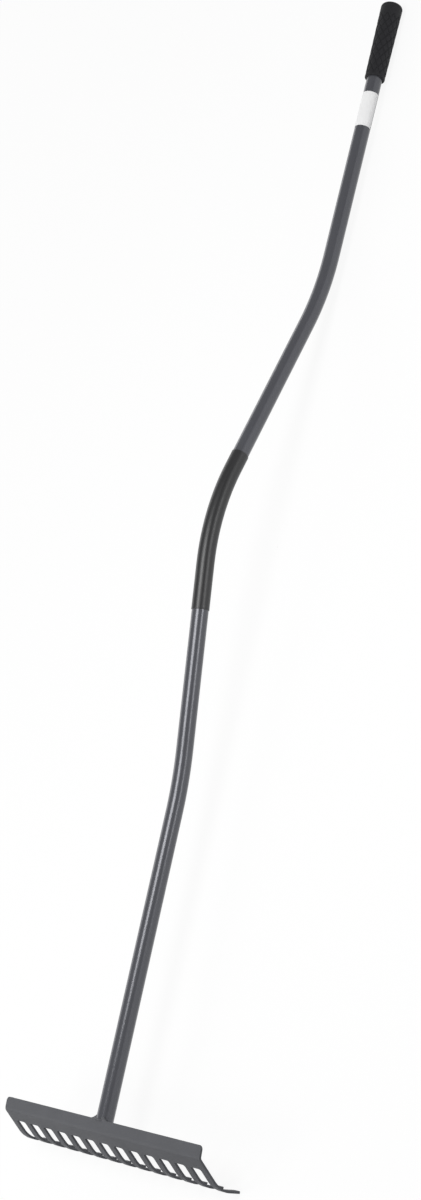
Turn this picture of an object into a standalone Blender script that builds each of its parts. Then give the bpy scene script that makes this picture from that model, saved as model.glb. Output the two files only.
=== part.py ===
"""Garden rake: a stamped steel head of fourteen tines on a bent tubular handle.

The rake lies the way it is laid on the ground: the tines point down, and the
tine tips and the end grip touch the ground plane Z = 0. X runs along the head,
Y runs from the head to the end grip, and Z is up, on the rounded back of the
head. The pieces are first modelled in a drawing frame whose Y axis is the axis
of the handle's lowest straight run and whose origin is where that axis passes
the head's top edge. One empty then tilts and shifts them all to the ground.
"""

import math

import bmesh
import bpy
from mathutils import Matrix, Vector

# General fits
CLEARANCE = 0.0003
SMOOTH_LIMIT = math.radians(32.0)

# Handle: one round steel tube, bent in the plane that halves the head
TUBE_RADIUS = 0.0115
TUBE_WALL = 0.0012
TUBE_SIDES = 32
LOWER_RUN = 0.4021
LOWER_BEND_ANGLE = math.radians(8.12)
LOWER_BEND_RADIUS = 0.596
WAIST_RUN = 0.2510
WAIST_BEND_ANGLE = math.radians(-24.13)
WAIST_BEND_RADIUS = 0.3372
UPPER_RUN = 0.2568
UPPER_BEND_ANGLE = math.radians(14.54)
UPPER_BEND_RADIUS = 0.4557
TOP_RUN = 0.4080
DEGREES_PER_STEP = math.radians(2.0)

# Head: pressed from sheet, seen as a profile from its top edge to the tips
SHEET = 0.0030
HEAD_WIDTH = 0.4096
HEAD_BACK_HEIGHT = 0.01042
FLANGE_ANGLE = math.radians(3.1)
FLANGE_LENGTH = 0.0132
FLANGE_BEND_RADIUS = 0.0075
SLOPE_ANGLE = math.radians(53.1)
SLOPE_LENGTH = 0.0350
TINE_BEND_RADIUS = 0.0407
TINE_TIP_ANGLE = math.radians(95.5)
TINE_TIP_LENGTH = 0.0173
HEAD_CORNER_RADIUS = 0.0055

# Tines: what is left between the slots
TINE_COUNT = 14
TINE_WIDTH = 0.0110
TINE_CORNER_RADIUS = 0.0022
SLOT_FROM_SLOPE_TOP = 0.0152
SLOT_CORNER_RADIUS = 0.0055

# Foot of the handle: how far it laps down the front of the head, and its weld
FOOT_LAP = 0.0205
WELD_LEG = 0.0026
WELD_RUN_OUT = 0.0150
WELD_RUN_OUT_TOP = 0.0060
WELD_RUN_OUT_HEIGHT = 0.0060
WELD_RUN_OUT_EDGE = 0.0007

# Hand grip sleeve over the waist bend
SLEEVE_START = 0.6746
SLEEVE_LENGTH = 0.2294
SLEEVE_WALL = 0.0006
SLEEVE_EDGE = 0.0003

# Bare paper band round the handle below the end grip, wrapped most of the way round
BAND_START = 1.4571
BAND_LENGTH = 0.0559
BAND_THICKNESS = 0.00025
BAND_FIRST_EDGE = math.radians(-24.0)
BAND_WRAP = math.radians(314.0)

# End grip: moulded cap with a low bead at its mouth, a groove and a nearly flat end
GRIP_START = 1.5395
GRIP_LENGTH = 0.1240
GRIP_RIM_RADIUS = 0.0151
GRIP_RIM_LENGTH = 0.0030
GRIP_RIM_STEP = 0.0003
GRIP_END_RADIUS = 0.0162
GRIP_END_WALL = 0.0090
GRIP_GROOVE_FROM_END = 0.0071
GRIP_GROOVE_WIDTH = 0.0016
GRIP_GROOVE_DEPTH = 0.0006
GRIP_DOME_ROUND = 0.0050
GRIP_DOME_RISE = 0.0006
GRIP_SIDES = 40

# Colours, roughness and metal value of each finish
FINISHES = {
    "head_steel": ((0.125, 0.125, 0.135, 1.0), 0.46, 0.35),
    "tube_steel": ((0.115, 0.116, 0.125, 1.0), 0.36, 0.45),
    "weld_steel": ((0.120, 0.120, 0.130, 1.0), 0.50, 0.35),
    "sleeve_plastic": ((0.040, 0.040, 0.041, 1.0), 0.45, 0.0),
    "grip_rubber": ((0.022, 0.022, 0.025, 1.0), 0.75, 0.0),
    "band_paper": ((0.85, 0.85, 0.86, 1.0), 0.60, 0.0),
}


def clear_scene():
    """Remove every object that a new file starts with."""
    for obj in list(bpy.data.objects):
        bpy.data.objects.remove(obj, do_unlink=True)


def material(name):
    """Make the Principled material of one finish."""
    colour, roughness, metallic = FINISHES[name]
    made = bpy.data.materials.new(name)
    made.use_nodes = True
    shader = made.node_tree.nodes["Principled BSDF"]
    shader.inputs["Base Color"].default_value = colour
    shader.inputs["Roughness"].default_value = roughness
    shader.inputs["Metallic"].default_value = metallic
    made.diffuse_color = colour
    return made


def add_object(name, bm, finish, parent):
    """Turn a bmesh into a named object with outward faces, smooth where it is round."""
    bmesh.ops.recalc_face_normals(bm, faces=bm.faces)
    mesh = bpy.data.meshes.new(name)
    bm.to_mesh(mesh)
    bm.free()
    obj = bpy.data.objects.new(name, mesh)
    bpy.context.scene.collection.objects.link(obj)
    obj.parent = parent
    if finish:
        mesh.materials.append(material(finish))
    mesh.shade_smooth()
    mesh.set_sharp_from_angle(angle=SMOOTH_LIMIT)
    return obj


def cut_away(obj, cutters, operation="DIFFERENCE", folded=False):
    """Cut the given solids out of an object, keep the result as its mesh and drop the cutters.

    folded is for a swept object that overlaps itself where its line turns sharply.
    """
    for cutter in cutters:
        modifier = obj.modifiers.new(cutter.name, "BOOLEAN")
        modifier.operation = operation
        modifier.solver = "EXACT"
        modifier.use_self = folded
        modifier.object = cutter
    bpy.context.view_layer.update()
    graph = bpy.context.evaluated_depsgraph_get()
    result = bpy.data.meshes.new_from_object(obj.evaluated_get(graph))
    result.name = obj.name
    obj.modifiers.clear()
    old = obj.data
    obj.data = result
    bpy.data.meshes.remove(old)
    for cutter in cutters:
        bpy.data.objects.remove(cutter, do_unlink=True)
    return obj


def tidy_mesh(bm):
    """Merge the doubled points and thin faces that a cut leaves behind."""
    bmesh.ops.remove_doubles(bm, verts=bm.verts, dist=0.000005)
    bmesh.ops.dissolve_degenerate(bm, edges=bm.edges, dist=0.000005)


class HandlePath:
    """Centre line of the handle, by distance from the head's top edge.

    The line lies in the plane X = 0. Each stretch is a pair of its length and
    the angle that it turns through, so a straight run turns through nothing.
    """

    def __init__(self):
        self.stretches = [
            (LOWER_RUN, 0.0),
            (abs(LOWER_BEND_ANGLE) * LOWER_BEND_RADIUS, LOWER_BEND_ANGLE),
            (WAIST_RUN, 0.0),
            (abs(WAIST_BEND_ANGLE) * WAIST_BEND_RADIUS, WAIST_BEND_ANGLE),
            (UPPER_RUN, 0.0),
            (abs(UPPER_BEND_ANGLE) * UPPER_BEND_RADIUS, UPPER_BEND_ANGLE),
            (TOP_RUN, 0.0),
        ]

    def at(self, distance):
        """Return the point and the heading angle at a distance along the line."""
        point = Vector((0.0, 0.0, 0.0))
        heading = 0.0
        left = distance
        last = len(self.stretches) - 1
        for index, (length, turn) in enumerate(self.stretches):
            used = left if index == last else min(left, length)
            share = used / length
            if turn:
                radius = length / turn
                after = heading + turn * share
                point.y += radius * (math.sin(after) - math.sin(heading))
                point.z += radius * (math.cos(heading) - math.cos(after))
                heading = after
            else:
                point.y += used * math.cos(heading)
                point.z += used * math.sin(heading)
            left -= used
            if left <= 0.0:
                break
        return point, heading

    def stations(self, start, end):
        """List the distances where a swept piece needs a ring."""
        marks = [start, end]
        reached = 0.0
        for length, turn in self.stretches:
            steps = max(1, math.ceil(abs(turn) / DEGREES_PER_STEP)) if turn else 1
            marks += [reached + length * k / steps for k in range(steps + 1)]
            reached += length
        inside = sorted({round(m, 7) for m in marks if start <= m <= end})
        kept = [inside[0]]
        for mark in inside[1:]:
            if mark - kept[-1] > 0.0005:
                kept.append(mark)
        kept[-1] = end
        return kept

    def beside(self, distance, radius, angle):
        """Return the point at a radius from the line, turned by an angle from +X to above it."""
        centre, heading = self.at(distance)
        up = Vector((0.0, -math.sin(heading), math.cos(heading)))
        side = Vector((1.0, 0.0, 0.0))
        return centre + radius * (math.cos(angle) * side + math.sin(angle) * up)

    def ring(self, bm, distance, radius, sides):
        """Add one ring of points round the line, or a single point at radius nought."""
        if radius <= 0.0:
            return [bm.verts.new(self.at(distance)[0])]
        turns = [2.0 * math.pi * (k + 0.5) / sides for k in range(sides)]
        return [bm.verts.new(self.beside(distance, radius, angle)) for angle in turns]


def sweep(path, section, sides, closed):
    """Turn a section of (distance, radius) points round the handle's centre line.

    A closed section makes a sleeve. An open one starts and ends on the line.
    """
    bm = bmesh.new()
    rings = [path.ring(bm, distance, radius, sides) for distance, radius in section]
    pairs = list(zip(rings, rings[1:]))
    if closed:
        pairs.append((rings[-1], rings[0]))
    for first, second in pairs:
        for k in range(sides):
            nxt = (k + 1) % sides
            if len(first) == 1:
                bm.faces.new((first[0], second[nxt], second[k]))
            elif len(second) == 1:
                bm.faces.new((first[k], first[nxt], second[0]))
            else:
                bm.faces.new((first[k], first[nxt], second[nxt], second[k]))
    return bm


def sleeve_section(path, start, end, outer, inner, edge=0.0):
    """Section of a sleeve that follows the handle, with its outer edges eased."""
    marks = path.stations(start, end)
    section = []
    if edge:
        section.append((start, outer - edge))
        section.append((start + edge, outer))
        section += [(mark, outer) for mark in marks[1:-1]]
        section.append((end - edge, outer))
        section.append((end, outer - edge))
    else:
        section += [(mark, outer) for mark in marks]
    section += [(mark, inner) for mark in reversed(marks)]
    return section


class HeadProfile:
    """Side view of the head's sheet, from its top edge to the tine tips.

    Points are (y, z) on the sheet's back face, and each has the angle by which
    the sheet has turned down towards the front there.
    """

    def __init__(self):
        self.points = []
        self.angles = []
        self.lengths = []
        self.position = Vector((0.0, HEAD_BACK_HEIGHT))
        self.angle = FLANGE_ANGLE
        self.length = 0.0
        self.record()
        self.straight(FLANGE_LENGTH)
        self.arc(SLOPE_ANGLE, FLANGE_BEND_RADIUS, 5)
        self.slope_top = self.length
        self.straight(SLOPE_LENGTH)
        self.arc(TINE_TIP_ANGLE, TINE_BEND_RADIUS, 8)
        self.straight(TINE_TIP_LENGTH)

    def record(self):
        self.points.append(self.position.copy())
        self.angles.append(self.angle)
        self.lengths.append(self.length)

    def straight(self, length):
        self.position += length * Vector((-math.cos(self.angle), -math.sin(self.angle)))
        self.length += length
        self.record()

    def arc(self, to_angle, radius, steps):
        turn = (to_angle - self.angle) / steps
        for _ in range(steps):
            chord = 2.0 * radius * math.sin(turn / 2.0)
            middle = self.angle + turn / 2.0
            self.position += chord * Vector((-math.cos(middle), -math.sin(middle)))
            self.angle += turn
            self.length += radius * turn
            self.record()

    def face(self, depth):
        """Return the profile moved by a depth from the back face towards the front."""
        return [
            point + depth * Vector((math.sin(angle), -math.cos(angle)))
            for point, angle in zip(self.points, self.angles)
        ]

    def slope_frame(self, distance):
        """Return the point on the back face of the slope, the way down it and the way to the front."""
        angle = SLOPE_ANGLE
        down = Vector((-math.cos(angle), -math.sin(angle)))
        front = Vector((math.sin(angle), -math.cos(angle)))
        start = self.points[self.lengths.index(self.slope_top)]
        return start + distance * down, down, front


def prism(outline, half_width):
    """Extrude a closed (y, z) outline evenly to both sides along X."""
    bm = bmesh.new()
    lower = [bm.verts.new((-half_width, y, z)) for y, z in outline]
    face = bm.faces.new(lower)
    grown = bmesh.ops.extrude_face_region(bm, geom=[face])
    moved = [v for v in grown["geom"] if isinstance(v, bmesh.types.BMVert)]
    bmesh.ops.translate(bm, verts=moved, vec=(2.0 * half_width, 0.0, 0.0))
    bmesh.ops.recalc_face_normals(bm, faces=bm.faces)
    return bm


def sheet_outline(profile, extra=0.0):
    """Outline of the sheet's side view, grown by an extra amount on every face."""
    back = [Vector(p) for p in profile.face(-extra)]
    front = [Vector(p) for p in profile.face(SHEET + extra)]
    if extra:
        first, last = profile.angles[0], profile.angles[-1]
        up = extra * Vector((math.cos(first), math.sin(first)))
        out = extra * Vector((-math.cos(last), -math.sin(last)))
        back[0] += up
        front[0] += up
        back[-1] += out
        front[-1] += out
    return back + front[::-1]


def slot_cutters(profile):
    """Solids that remove the metal between the tines, round-cornered at the top."""
    pitch = (HEAD_WIDTH - TINE_WIDTH) / (TINE_COUNT - 1)
    half_slot = (pitch - TINE_WIDTH) / 2.0
    start, down, front = profile.slope_frame(SLOT_FROM_SLOPE_TOP)
    reach = 3.0 * profile.length
    corner = min(SLOT_CORNER_RADIUS, half_slot * 0.98)
    outline = []
    for k in range(7):
        angle = math.pi / 2.0 * k / 6.0
        outline.append((half_slot - corner + corner * math.cos(angle), corner - corner * math.sin(angle)))
    outline += [(-across, along) for across, along in reversed(outline)]
    outline += [(-half_slot, reach), (half_slot, reach)]
    bm = bmesh.new()
    for index in range(TINE_COUNT - 1):
        middle = -HEAD_WIDTH / 2.0 + TINE_WIDTH + half_slot + index * pitch
        loops = []
        for depth in (-reach, reach):
            loop = []
            for across, along in outline:
                y, z = start + along * down + depth * front
                loop.append(bm.verts.new((middle + across, y, z)))
            loops.append(loop)
        bm.faces.new(loops[0])
        bm.faces.new(loops[1][::-1])
        count = len(outline)
        for k in range(count):
            nxt = (k + 1) % count
            bm.faces.new((loops[0][k], loops[1][k], loops[1][nxt], loops[0][nxt]))
    return add_object("slot_cutter", bm, None, None)


def round_sheet_corners(obj, profile):
    """Round the corners of the tine tips and of the head's top edge, seen square to the sheet."""
    bm = bmesh.new()
    bm.from_mesh(obj.data)
    tidy_mesh(bm)
    ends = (
        (profile.points[-1], profile.angles[-1], TINE_CORNER_RADIUS, 3),
        (profile.points[0], profile.angles[0], HEAD_CORNER_RADIUS, 5),
    )
    for point, angle, radius, steps in ends:
        front = Vector((0.0, math.sin(angle), -math.cos(angle)))
        along = Vector((0.0, -math.cos(angle), -math.sin(angle)))
        base = Vector((0.0, point.x, point.y))
        corners = []
        for edge in bm.edges:
            run = edge.verts[1].co - edge.verts[0].co
            square = run.length > 0.0 and abs(run.normalized().dot(front)) > 0.999
            at_end = all(abs((v.co - base).dot(along)) < 0.00002 for v in edge.verts)
            if square and at_end:
                corners.append(edge)
        bmesh.ops.bevel(bm, geom=corners, offset=radius, segments=steps, profile=0.5, affect="EDGES")
    bmesh.ops.recalc_face_normals(bm, faces=bm.faces)
    bm.to_mesh(obj.data)
    bm.free()
    obj.data.shade_smooth()
    obj.data.set_sharp_from_angle(angle=SMOOTH_LIMIT)


def make_head(profile, parent):
    """The pressed head: one bent sheet with its slots and rounded corners."""
    sheet = prism([tuple(p) for p in sheet_outline(profile)], HEAD_WIDTH / 2.0)
    head = add_object("rake_head", sheet, "head_steel", parent)
    cut_away(head, [slot_cutters(profile)])
    round_sheet_corners(head, profile)
    return head


def make_tube(path, profile, parent):
    """The handle's tube, its foot cut to seat on the front face of the head."""
    end = GRIP_START + GRIP_LENGTH - GRIP_END_WALL - CLEARANCE
    section = sleeve_section(path, -FOOT_LAP, end, TUBE_RADIUS, TUBE_RADIUS - TUBE_WALL)
    tube = add_object("handle_tube", sweep(path, section, TUBE_SIDES, True), "tube_steel", parent)
    face = profile.face(SHEET + CLEARANCE)
    far = 4.0 * TUBE_RADIUS
    outline = [Vector((CLEARANCE, far)), Vector((CLEARANCE, face[0].y))]
    outline += [p for p in face[1:] if p.y > -2.5 * TUBE_RADIUS]
    beyond = outline[-1].x - FOOT_LAP - far
    outline += [Vector((beyond, outline[-1].y)), Vector((beyond, far))]
    behind = add_object("foot_cutter", prism([tuple(p) for p in outline], 2.0 * TUBE_RADIUS), None, None)
    cut_away(tube, [behind])
    bm = bmesh.new()
    bm.from_mesh(tube.data)
    tidy_mesh(bm)
    bm.to_mesh(tube.data)
    bm.free()
    tube.data.shade_smooth()
    tube.data.set_sharp_from_angle(angle=SMOOTH_LIMIT)
    return tube


def joint_line(profile, count):
    """Evenly spaced points of the line where the tube meets the head, with its corners eased.

    The line goes over the head's top edge behind the tube, down the front face
    on both sides of it, and straight across below its cut foot.
    """
    front = profile.face(SHEET)
    foot_height = -TUBE_RADIUS
    for (y_a, z_a), (y_b, z_b) in zip(front, front[1:]):
        if y_b <= -FOOT_LAP < y_a:
            foot_height = z_a + (z_b - z_a) * (y_a + FOOT_LAP) / (y_a - y_b)
            break
    dense = []
    for k in range(720):
        angle = 2.0 * math.pi * k / 720
        x, z = TUBE_RADIUS * math.cos(angle), max(TUBE_RADIUS * math.sin(angle), foot_height)
        y = 0.0
        for (y_a, z_a), (y_b, z_b) in zip(front, front[1:]):
            if z_b <= z < z_a:
                y = y_a + (y_b - y_a) * (z_a - z) / (z_a - z_b)
                break
        dense.append(Vector((x, y, z)))
    reached = [0.0]
    for first, second in zip(dense, dense[1:] + dense[:1]):
        reached.append(reached[-1] + (second - first).length)
    points = []
    index = 0
    for k in range(count):
        goal = reached[-1] * k / count
        while reached[index + 1] < goal:
            index += 1
        share = (goal - reached[index]) / (reached[index + 1] - reached[index])
        points.append(dense[index].lerp(dense[(index + 1) % len(dense)], share))
    for _ in range(2):
        points = [(points[k - 1] + 2.0 * points[k] + points[(k + 1) % count]) / 4.0 for k in range(count)]
    return points


def weld_core(profile):
    """A round bead along the joint line, before the two pieces it lies between are cut out of it."""
    steps, sides = 60, 10
    points = joint_line(profile, steps)
    middle = sum(points, Vector()) / steps
    bm = bmesh.new()
    rings = []
    for k, point in enumerate(points):
        tangent = (points[(k + 1) % steps] - points[k - 1]).normalized()
        side = tangent.cross(point - middle).normalized()
        out = side.cross(tangent).normalized()
        ring = []
        for j in range(sides):
            angle = 2.0 * math.pi * j / sides
            ring.append(bm.verts.new(point + WELD_LEG * (math.cos(angle) * out + math.sin(angle) * side)))
        rings.append(ring)
    for first, second in zip(rings, rings[1:] + rings[:1]):
        for j in range(sides):
            nxt = (j + 1) % sides
            bm.faces.new((first[j], first[nxt], second[nxt], second[j]))
    return bm


def weld_run_out():
    """The weld's two run-outs: one plate in line with the sheet, ramping down from the tube to both sides."""
    sink = 2.0 * CLEARANCE
    foot = WELD_RUN_OUT + sink * (WELD_RUN_OUT - WELD_RUN_OUT_TOP) / WELD_RUN_OUT_HEIGHT
    top = (WELD_RUN_OUT_TOP, WELD_RUN_OUT_HEIGHT)
    outline = [(foot, -sink), top, (-top[0], top[1]), (-foot, -sink)]
    half = (SHEET + CLEARANCE) / 2.0
    bm = bmesh.new()
    lower = [bm.verts.new((x, y, HEAD_BACK_HEIGHT - SHEET / 2.0 - half)) for x, y in outline]
    face = bm.faces.new(lower)
    grown = bmesh.ops.extrude_face_region(bm, geom=[face])
    moved = [v for v in grown["geom"] if isinstance(v, bmesh.types.BMVert)]
    bmesh.ops.translate(bm, verts=moved, vec=(0.0, 0.0, 2.0 * half))
    bmesh.ops.recalc_face_normals(bm, faces=bm.faces)
    ramps = [e for e in bm.edges if abs(e.verts[0].co.z - e.verts[1].co.z) < half and max(v.co.y for v in e.verts) > 0.0]
    bmesh.ops.bevel(bm, geom=ramps, offset=WELD_RUN_OUT_EDGE, segments=2, profile=0.5, affect="EDGES")
    return bm


def make_weld(path, profile, parent):
    """The weld bead round the foot of the tube, with its run-out on the head's top edge."""
    weld = add_object("weld_bead", weld_core(profile), "weld_steel", parent)
    cut_away(weld, [add_object("weld_run_out", weld_run_out(), None, None)], "UNION", folded=True)
    room = sheet_outline(profile, CLEARANCE)
    plate = add_object("weld_plate_room", prism([tuple(p) for p in room], 4.0 * TUBE_RADIUS), None, None)
    low, high, room_radius = -FOOT_LAP - CLEARANCE, FOOT_LAP + 4.0 * TUBE_RADIUS, TUBE_RADIUS + CLEARANCE
    section = [(low, 0.0), (low, room_radius), (high, room_radius), (high, 0.0)]
    bar = add_object("weld_tube_room", sweep(path, section, TUBE_SIDES, False), None, None)
    cut_away(weld, [plate, bar], folded=True)
    bm = bmesh.new()
    bm.from_mesh(weld.data)
    tidy_mesh(bm)
    bm.to_mesh(weld.data)
    bm.free()
    weld.data.shade_smooth()
    weld.data.set_sharp_from_angle(angle=SMOOTH_LIMIT)
    return weld


def make_sleeve(path, parent):
    """The thin hand sleeve that follows the tube round the waist bend."""
    bore = TUBE_RADIUS + CLEARANCE
    end = SLEEVE_START + SLEEVE_LENGTH
    section = sleeve_section(path, SLEEVE_START, end, bore + SLEEVE_WALL, bore, SLEEVE_EDGE)
    return add_object("waist_sleeve", sweep(path, section, TUBE_SIDES, True), "sleeve_plastic", parent)


def make_band(path, parent):
    """The bare paper band, wrapped round the top run of the handle with its two edges apart."""
    bore = TUBE_RADIUS + CLEARANCE
    steps = max(3, round(TUBE_SIDES * BAND_WRAP / (2.0 * math.pi)))
    turns = [BAND_FIRST_EDGE + BAND_WRAP * k / steps for k in range(steps + 1)]
    corners = [(angle, bore + BAND_THICKNESS) for angle in turns] + [(angle, bore) for angle in reversed(turns)]
    bm = bmesh.new()
    ends = []
    for distance in (BAND_START, BAND_START + BAND_LENGTH):
        ends.append([bm.verts.new(path.beside(distance, radius, angle)) for angle, radius in corners])
    for k in range(len(corners)):
        nxt = (k + 1) % len(corners)
        bm.faces.new((ends[0][k], ends[0][nxt], ends[1][nxt], ends[1][k]))
    for end in ends:
        for k in range(steps):
            bm.faces.new((end[k], end[k + 1], end[-2 - k], end[-1 - k]))
    return add_object("paper_band", bm, "band_paper", parent)


def grip_section():
    """Half section of the end grip, from the tip of its dome round to the bottom of its bore."""
    end = GRIP_START + GRIP_LENGTH
    bore = TUBE_RADIUS + CLEARANCE
    shoulder = end - GRIP_DOME_RISE - GRIP_DOME_ROUND
    flat = GRIP_END_RADIUS - GRIP_DOME_ROUND
    body = GRIP_START + GRIP_RIM_LENGTH
    body_radius = GRIP_RIM_RADIUS - GRIP_RIM_STEP

    def taper(distance):
        share = (distance - body) / (shoulder - body)
        return body_radius + (GRIP_END_RADIUS - body_radius) * min(1.0, max(0.0, share))

    section = [(end, 0.0), (end - GRIP_DOME_RISE * 0.25, flat * 0.5), (end - GRIP_DOME_RISE, flat)]
    for k in range(1, 7):
        angle = math.pi / 2.0 * k / 6.0
        section.append((shoulder + GRIP_DOME_ROUND * math.cos(angle), flat + GRIP_DOME_ROUND * math.sin(angle)))
    groove = end - GRIP_GROOVE_FROM_END
    for offset, depth in ((0.0, 0.0), (0.25, 1.0), (0.75, 1.0), (1.0, 0.0)):
        distance = groove - GRIP_GROOVE_WIDTH * offset
        section.append((distance, taper(distance) - GRIP_GROOVE_DEPTH * depth))
    for k in range(1, 6):
        distance = groove - GRIP_GROOVE_WIDTH + (body - groove + GRIP_GROOVE_WIDTH) * k / 6.0
        section.append((distance, taper(distance)))
    section.append((body, body_radius))
    for k in range(5):
        angle = math.pi * k / 4.0
        half = GRIP_RIM_LENGTH / 2.0
        section.append((GRIP_START + half + half * math.cos(angle), GRIP_RIM_RADIUS - GRIP_RIM_STEP * 0.4 + GRIP_RIM_STEP * 0.4 * math.sin(angle)))
    section.append((GRIP_START, bore))
    section.append((end - GRIP_END_WALL, bore))
    section.append((end - GRIP_END_WALL, 0.0))
    return section


def make_grip(path, parent):
    """The moulded end grip, closed by its dome and pushed over the tube."""
    return add_object("end_grip", sweep(path, grip_section(), GRIP_SIDES, False), "grip_rubber", parent)


def lay_down(root, objects):
    """Tilt and shift the rake so that its tips and its end grip rest on Z = 0 over the origin."""
    head = [v.co.copy() for obj in objects if obj.name == "rake_head" for v in obj.data.vertices]
    grip = [v.co.copy() for obj in objects if obj.name == "end_grip" for v in obj.data.vertices]
    tilt = 0.0
    for _ in range(12):
        turn = Matrix.Rotation(tilt, 3, "X")
        low_head = min((turn @ p for p in head), key=lambda p: p.z)
        low_grip = min((turn @ p for p in grip), key=lambda p: p.z)
        tilt -= math.atan2(low_grip.z - low_head.z, low_grip.y - low_head.y)
    turn = Matrix.Rotation(tilt, 3, "X")
    points = [turn @ v.co for obj in objects for v in obj.data.vertices]
    centre = (min(p.y for p in points) + max(p.y for p in points)) / 2.0
    root.rotation_euler = (tilt, 0.0, 0.0)
    root.location = (0.0, -centre, -min(p.z for p in points))
    return tilt


def main():
    """Build the rake."""
    clear_scene()
    root = bpy.data.objects.new("rake", None)
    root.empty_display_size = 0.1
    bpy.context.scene.collection.objects.link(root)
    path = HandlePath()
    profile = HeadProfile()
    objects = [
        make_head(profile, root),
        make_tube(path, profile, root),
        make_weld(path, profile, root),
        make_sleeve(path, root),
        make_band(path, root),
        make_grip(path, root),
    ]
    tilt = lay_down(root, objects)
    bpy.context.view_layer.update()
    print("tilt", round(math.degrees(tilt), 4), "location", [round(c, 6) for c in root.location])
    for obj in objects:
        print(obj.name, sum(len(p.vertices) - 2 for p in obj.data.polygons), "triangles")


if __name__ == "__main__":
    main()
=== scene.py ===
"""Looks of a garden rake: a pressed steel head welded to a bent steel handle.

The rake lies on a pale floor with its tines down. Every shape is first worked
out in a drawing frame, whose Y axis is the axis of the handle's lowest run and
whose origin is where that axis passes the head's top edge, and is then laid
down onto the floor. Lengths are in metres and angles in radians, unless a
name or a comment says otherwise.
"""

import logging
import math
from dataclasses import dataclass
from enum import Enum

import bpy
import numpy as np
from mathutils import Matrix


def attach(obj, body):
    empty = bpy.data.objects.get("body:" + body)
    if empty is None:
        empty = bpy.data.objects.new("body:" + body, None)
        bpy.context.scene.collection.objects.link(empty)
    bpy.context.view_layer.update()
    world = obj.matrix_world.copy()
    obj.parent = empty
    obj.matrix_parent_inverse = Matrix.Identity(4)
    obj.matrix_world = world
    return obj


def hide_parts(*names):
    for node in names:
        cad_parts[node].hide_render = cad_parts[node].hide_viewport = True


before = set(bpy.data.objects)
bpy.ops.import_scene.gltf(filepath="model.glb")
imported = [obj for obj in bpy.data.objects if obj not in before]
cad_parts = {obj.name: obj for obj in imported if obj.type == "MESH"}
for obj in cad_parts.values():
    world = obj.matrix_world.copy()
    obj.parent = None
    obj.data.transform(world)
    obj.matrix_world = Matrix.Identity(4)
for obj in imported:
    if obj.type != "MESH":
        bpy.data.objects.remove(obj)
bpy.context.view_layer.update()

Array = np.ndarray
Pair = tuple[float, float]
Triple = tuple[float, float, float]
Object = bpy.types.Object
Tree = bpy.types.NodeTree
Node = bpy.types.Node
Socket = bpy.types.NodeSocket
log = logging.getLogger("rake")

# How the drawing frame is turned and shifted, so that the tips and the grip touch the floor.
LAY_TILT = math.radians(0.5551)
LAY_SHIFT = (0.0, -0.800327, 0.067271)
PHOTO_SIZE = (421, 1200)

# A row that would stand nearer than this to a surface's first or last row is left out.
LEAST_ROW_GAP = 0.0008

# Decimals to which rows, columns and angles are told apart.
ROW_DIGITS, COLUMN_DIGITS, ANGLE_DIGITS = 6, 7, 5

# Attributes of the meshes: places on the straightened handle, and heights of a moulded pattern.
UNBENT = "unbent"
RELIEF = "relief"

# Socket numbers of the Mix node: its value inputs, its colour inputs and its colour output.
VALUE_A, VALUE_B, COLOUR_A, COLOUR_B, COLOUR_OUT = 2, 3, 6, 7, 2

# Fractal noise seldom leaves these values, so patterns are spread from them to 0 and 1.
NOISE_REACH = (0.35, 0.65)


class CadNode(Enum):
    """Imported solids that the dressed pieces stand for."""

    HEAD = "rake_head"
    TUBE = "handle_tube"
    WELD = "weld_bead"
    SLEEVE = "waist_sleeve"
    BAND = "paper_band"
    GRIP = "end_grip"


class Slot(Enum):
    """Material slots, named as the solids that have them."""

    HEAD = "head_steel"
    TUBE = "tube_steel"
    WELD = "weld_steel"
    SLEEVE = "sleeve_plastic"
    BAND = "band_paper"
    GRIP = "grip_rubber"


def linear(hex_colour: str) -> tuple[float, float, float, float]:
    """Turn an sRGB hex colour into linear light.

    Args:
        hex_colour: six hex digits, such as "#5A5B5F".

    Returns:
        Red, green, blue and an alpha of 1.
    """
    values = [int(hex_colour.lstrip("#")[k : k + 2], 16) / 255.0 for k in (0, 2, 4)]
    lit = [v / 12.92 if v <= 0.04045 else ((v + 0.055) / 1.055) ** 2.4 for v in values]
    return lit[0], lit[1], lit[2], 1.0


def per_metre(millimetres: float) -> float:
    """Pattern repeats in a metre for a real size in millimetres."""
    return 1000.0 / millimetres


def laid_down(points: Array) -> Array:
    """Turn drawing points about X by the tilt and shift them onto the floor.

    Args:
        points: drawing coordinates, with X, Y, Z last.

    Returns:
        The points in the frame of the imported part.
    """
    c, s = math.cos(LAY_TILT), math.sin(LAY_TILT)
    turn = np.array([[1.0, 0.0, 0.0], [0.0, c, s], [0.0, -s, c]])
    return np.asarray(points, float) @ turn + np.array(LAY_SHIFT)


def smooth_step(share: Array) -> Array:
    """Ease a share from 0 to 1 with level ends, as 3 t^2 - 2 t^3."""
    t = np.clip(share, 0.0, 1.0)
    return t * t * (3.0 - 2.0 * t)


def quads_of(index: Array) -> Array:
    """Join a matrix of point numbers into quads.

    Quad (i, j) joins points (i, j), (i, j+1), (i+1, j+1) and (i+1, j).

    Args:
        index: point numbers by row and column. A repeated first row or column
            at the end closes the surface that way round.

    Returns:
        Four point numbers for each quad.
    """
    corners = [index[:-1, :-1], index[:-1, 1:], index[1:, 1:], index[1:, :-1]]
    return np.stack(corners, axis=-1).reshape(-1, 4)


def ring_numbers(rings: int, sides: int) -> Array:
    """Point numbers of rings, one row for each, with its first point repeated at the end."""
    index = np.arange(rings * sides).reshape(rings, sides)
    return np.concatenate([index, index[:, :1]], axis=1)


def closed_quads(rings: int, sides: int) -> Array:
    """Quads between rings and from the last ring to the first, as on a pipe with two walls."""
    index = ring_numbers(rings, sides)
    return quads_of(np.concatenate([index, index[:1]]))


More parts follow.
